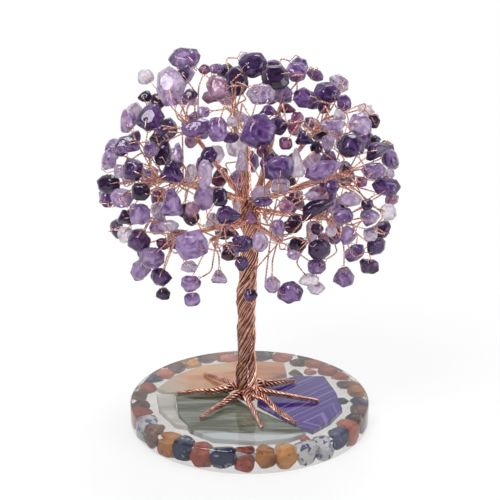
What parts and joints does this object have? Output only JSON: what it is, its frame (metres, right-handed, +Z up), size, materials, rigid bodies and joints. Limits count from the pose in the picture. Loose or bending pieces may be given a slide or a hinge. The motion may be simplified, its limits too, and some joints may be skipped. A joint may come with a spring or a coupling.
{
  "type": "gemstone tree ornament",
  "caption": "Ornamental tree of drilled amethyst chips wired to a twisted copper trunk, on a round clear resin disc with agate slices and stone chips cast in it.",
  "frame": {"origin": "middle of the disc's underside", "axes": "+Z up along the trunk, -Y to the front, +X to the viewer's right"},
  "size_m": [0.1183, 0.1045, 0.1578],
  "materials": {
    "agate_green": "polished",
    "agate_orange": "polished",
    "agate_purple": "polished, banded",
    "amethyst_dark": "tumbled and glossy",
    "amethyst_lilac": "tumbled and glossy",
    "amethyst_pale": "tumbled and glossy",
    "amethyst_plum": "tumbled and glossy",
    "amethyst_violet": "tumbled and glossy",
    "clear_quartz": "polished",
    "clear_resin": "glossy and clear",
    "copper_wire": "bright drawn wire",
    "jasper": "polished",
    "lapis": "polished",
    "ochre_stone": "polished",
    "quartz_grey": "polished",
    "smoky_stone": "polished"
  },
  "bodies": {
    "tree": {"agate_green": "agate_green", "agate_orange": "agate_orange", "agate_purple": "agate_purple", "chips_jasper": "jasper", "chips_lapis": "lapis", "chips_ochre": "ochre_stone", "chips_quartz": "clear_quartz", "chips_smoky": "smoky_stone", "gems_dark_back": "amethyst_dark", "gems_dark_front": "amethyst_dark", "gems_lilac_back": "amethyst_lilac", "gems_lilac_front": "amethyst_lilac", "gems_pale_back": "amethyst_pale", "gems_pale_front": "amethyst_pale", "gems_plum_back": "amethyst_plum", "gems_plum_front": "amethyst_plum", "gems_violet_back": "amethyst_violet", "gems_violet_front": "amethyst_violet", "limb_back_left": "copper_wire", "limb_back_middle": "copper_wire", "limb_back_right": "copper_wire", "limb_front_left": "copper_wire", "limb_front_right": "copper_wire", "limb_left_level": "copper_wire", "limb_left_low": "copper_wire", "limb_left_upper": "copper_wire", "limb_right_level": "copper_wire", "limb_right_low": "copper_wire", "limb_right_upper": "copper_wire", "limb_top_left": "copper_wire", "limb_top_right": "copper_wire", "loops_left_back": "copper_wire", "loops_left_front": "copper_wire", "loops_right_back": "copper_wire", "loops_right_front": "copper_wire", "quartz_grey": "quartz_grey", "resin_disc": "clear_resin", "root_back_right": "copper_wire", "root_front": "copper_wire", "root_front_left": "copper_wire", "root_front_right": "copper_wire", "root_left": "copper_wire", "root_left_thin": "copper_wire", "root_right": "copper_wire", "trunk": "copper_wire", "twigs_left_back": "copper_wire", "twigs_left_front": "copper_wire", "twigs_right_back": "copper_wire", "twigs_right_front": "copper_wire"},
    "hanging_gem_far_left": {"hanging_gem_far_left": "amethyst_lilac"},
    "hanging_gem_far_right": {"hanging_gem_far_right": "amethyst_dark"},
    "hanging_gem_left": {"hanging_gem_left": "amethyst_dark"},
    "hanging_gem_left_inner": {"hanging_gem_left_inner": "amethyst_pale"},
    "hanging_gem_left_middle": {"hanging_gem_left_middle": "amethyst_violet"},
    "hanging_gem_right": {"hanging_gem_right": "amethyst_lilac"},
    "hanging_gem_right_inner": {"hanging_gem_right_inner": "amethyst_pale"},
    "hanging_gem_right_middle": {"hanging_gem_right_middle": "amethyst_pale"},
    "hanging_gem_trunk": {"hanging_gem_trunk": "amethyst_dark"}
  },
  "joints": [
    {"name": "swing_far_left", "type": "hinge", "parent": "tree", "child": "hanging_gem_far_left", "pos_m": [-0.04239, -0.0224, 0.07686], "axis": [0.2079, -0.9781, 0], "range_deg": [-12, 12]},
    {"name": "swing_left", "type": "hinge", "parent": "tree", "child": "hanging_gem_left", "pos_m": [-0.03476, -0.01077, 0.0616], "axis": [-0.1392, -0.9903, 0], "range_deg": [-12, 12]},
    {"name": "swing_left_middle", "type": "hinge", "parent": "tree", "child": "hanging_gem_left_middle", "pos_m": [-0.02215, -0.03089, 0.06741], "axis": [0.1736, -0.9848, 0], "range_deg": [-12, 12]},
    {"name": "swing_left_inner", "type": "hinge", "parent": "tree", "child": "hanging_gem_left_inner", "pos_m": [-0.01132, -0.04389, 0.08111], "axis": [-0.1736, -0.9848, 0], "range_deg": [-12, 12]},
    {"name": "swing_trunk", "type": "hinge", "parent": "tree", "child": "hanging_gem_trunk", "pos_m": [0.0004, -0.04004, 0.07203], "axis": [0, -1, 0], "range_deg": [-12, 12]},
    {"name": "swing_right_inner", "type": "hinge", "parent": "tree", "child": "hanging_gem_right_inner", "pos_m": [0.00847, -0.04283, 0.07806], "axis": [0.1392, -0.9903, 0], "range_deg": [-12, 12]},
    {"name": "swing_right_middle", "type": "hinge", "parent": "tree", "child": "hanging_gem_right_middle", "pos_m": [0.02539, -0.03456, 0.0734], "axis": [-0.2079, -0.9781, 0], "range_deg": [-12, 12]},
    {"name": "swing_right", "type": "hinge", "parent": "tree", "child": "hanging_gem_right", "pos_m": [0.03625, -0.02874, 0.07591], "axis": [0.1736, -0.9848, 0], "range_deg": [-12, 12]},
    {"name": "swing_far_right", "type": "hinge", "parent": "tree", "child": "hanging_gem_far_right", "pos_m": [0.04792, -0.00797, 0.07297], "axis": [-0.2419, -0.9703, 0], "range_deg": [-12, 12]}
  ]
}
